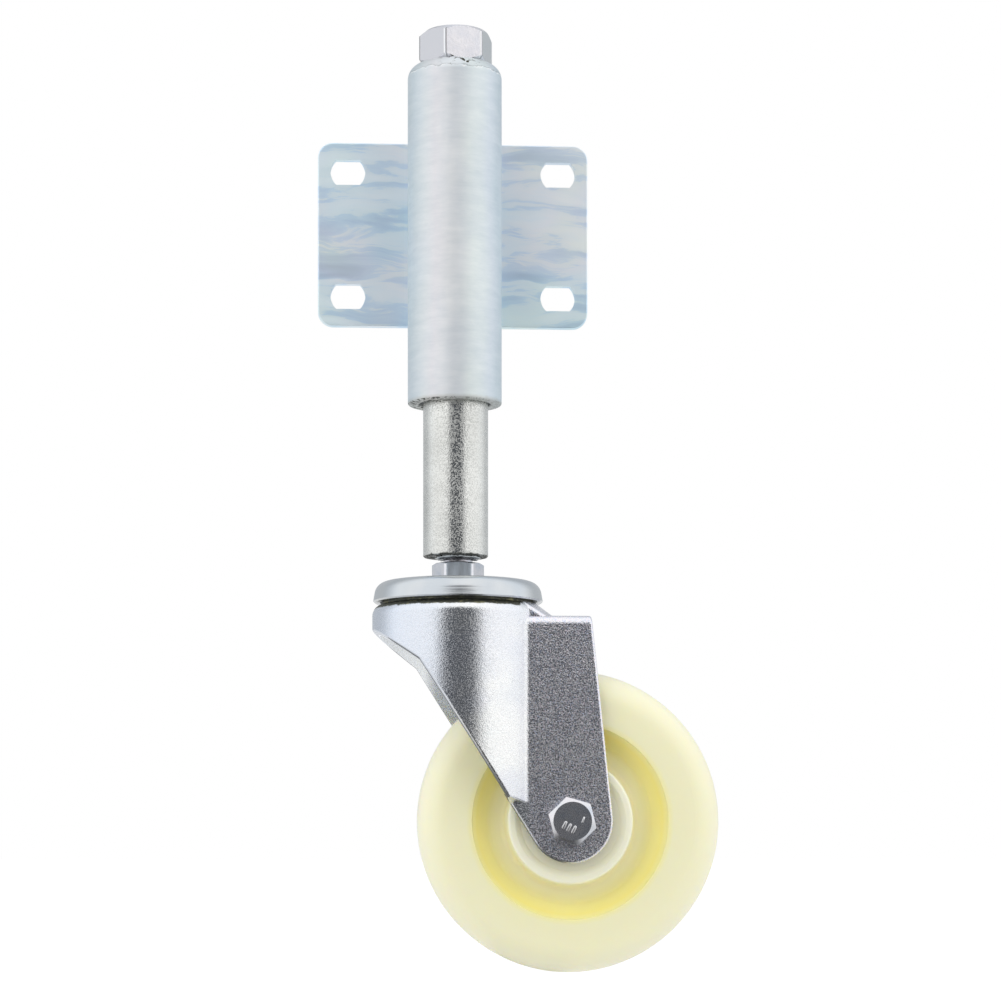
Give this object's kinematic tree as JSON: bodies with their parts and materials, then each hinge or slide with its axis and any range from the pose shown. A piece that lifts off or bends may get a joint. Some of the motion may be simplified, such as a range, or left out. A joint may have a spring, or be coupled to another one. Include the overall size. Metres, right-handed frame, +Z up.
{
  "type": "gate wheel",
  "caption": "Spring-loaded swivel gate wheel: slotted mounting plate, welded tube with sprung plunger, pressed swivel fork and a nylon wheel on ball bearings.",
  "frame": {"origin": "centre of the slot pattern on the mounting plate's back face, the face that lies on the gate", "axes": "+Z up along the housing tube, +Y out of the plate's back face into the gate, +X the way the wheel trails at rest"},
  "size_m": [0.1354, 0.058, 0.3176],
  "materials": {
    "zinc_plate": "bright zinc plate on rolled sheet, faint blue with long wavy rolling streaks",
    "zinc_tube": "bright zinc plate on drawn tube, soft satin",
    "weld": "zinc-plated weld bead",
    "bush_steel": "turned steel",
    "zinc_fastener": "bright zinc-plated fastener",
    "nickel_plunger": "plated bar with a fine pitted surface",
    "spring_steel": "oiled spring wire",
    "zinc_cap": "bright zinc-plated pressed cap, faint blue",
    "bearing_steel": "ground bearing steel",
    "zinc_fork": "bright zinc plate on pressed sheet with a fine orange-peel speckle",
    "shield_steel": "pressed steel shield",
    "cage_polyamide": "moulded polyamide",
    "nylon": "natural cast nylon, cream, satin and slightly translucent"
  },
  "bodies": {
    "housing": {"mounting_plate": "zinc_plate", "housing_tube": "zinc_tube", "plate_welds": "weld", "rod_guide_bush": "bush_steel", "compression_spring": "spring_steel"},
    "plunger": {"guide_rod": "zinc_fastener", "top_lock_nut": "zinc_fastener", "plunger_tube": "nickel_plunger", "plunger_head_plug": "nickel_plunger", "plunger_foot_plug": "nickel_plunger", "swivel_bolt": "zinc_fastener", "swivel_lock_nut": "zinc_fastener", "upper_race_cap": "zinc_cap", "lower_race_cup": "zinc_cap"},
    "upper_ball_set": {"upper_race_balls": "bearing_steel"},
    "lower_ball_set": {"lower_race_balls": "bearing_steel"},
    "fork_body": {"fork": "zinc_fork", "axle_bolt": "zinc_fastener", "axle_nut": "zinc_fastener", "axle_sleeve": "bush_steel", "front_side_spacer": "bush_steel", "rear_side_spacer": "bush_steel", "front_bearing_inner_ring": "bearing_steel", "rear_bearing_inner_ring": "bearing_steel"},
    "wheel_body": {"wheel": "nylon", "front_bearing_outer_ring": "bearing_steel", "rear_bearing_outer_ring": "bearing_steel", "front_bearing_shields": "shield_steel", "rear_bearing_shields": "shield_steel"},
    "front_ball_set": {"front_bearing_balls": "bearing_steel", "front_bearing_cage": "cage_polyamide"},
    "rear_ball_set": {"rear_bearing_balls": "bearing_steel", "rear_bearing_cage": "cage_polyamide"}
  },
  "joints": [
    {"name": "spring_travel", "type": "slide", "parent": "housing", "child": "plunger", "axis": [0, 0, 1], "range_m": [0, 0.04], "stiffness_N_per_m": 7000, "springref_m": -0.012, "deforming": ["compression_spring"]},
    {"name": "fork_swivel", "type": "hinge", "parent": "plunger", "child": "fork_body", "pos_m": [0.0011, -0.0189, -0.1262], "axis": [0, 0, 1], "continuous": true},
    {"name": "upper_balls_orbit", "type": "hinge", "parent": "plunger", "child": "upper_ball_set", "pos_m": [0.0011, -0.0189, -0.1262], "axis": [0, 0, 1], "continuous": true},
    {"name": "lower_balls_orbit", "type": "hinge", "parent": "plunger", "child": "lower_ball_set", "pos_m": [0.0011, -0.0189, -0.1333], "axis": [0, 0, 1], "continuous": true},
    {"name": "wheel_spin", "type": "hinge", "parent": "fork_body", "child": "wheel_body", "pos_m": [0.0381, -0.0189, -0.2022], "axis": [0, 1, 0], "continuous": true},
    {"name": "front_balls_orbit", "type": "hinge", "parent": "fork_body", "child": "front_ball_set", "pos_m": [0.0381, -0.0294, -0.2022], "axis": [0, 1, 0], "continuous": true},
    {"name": "rear_balls_orbit", "type": "hinge", "parent": "fork_body", "child": "rear_ball_set", "pos_m": [0.0381, -0.0084, -0.2022], "axis": [0, 1, 0], "continuous": true}
  ],
  "couplings": [
    {"joint": "upper_balls_orbit", "follows": "fork_swivel", "ratio": 0.5},
    {"joint": "lower_balls_orbit", "follows": "fork_swivel", "ratio": 0.5},
    {"joint": "front_balls_orbit", "follows": "wheel_spin", "ratio": 0.632},
    {"joint": "rear_balls_orbit", "follows": "wheel_spin", "ratio": 0.632}
  ]
}
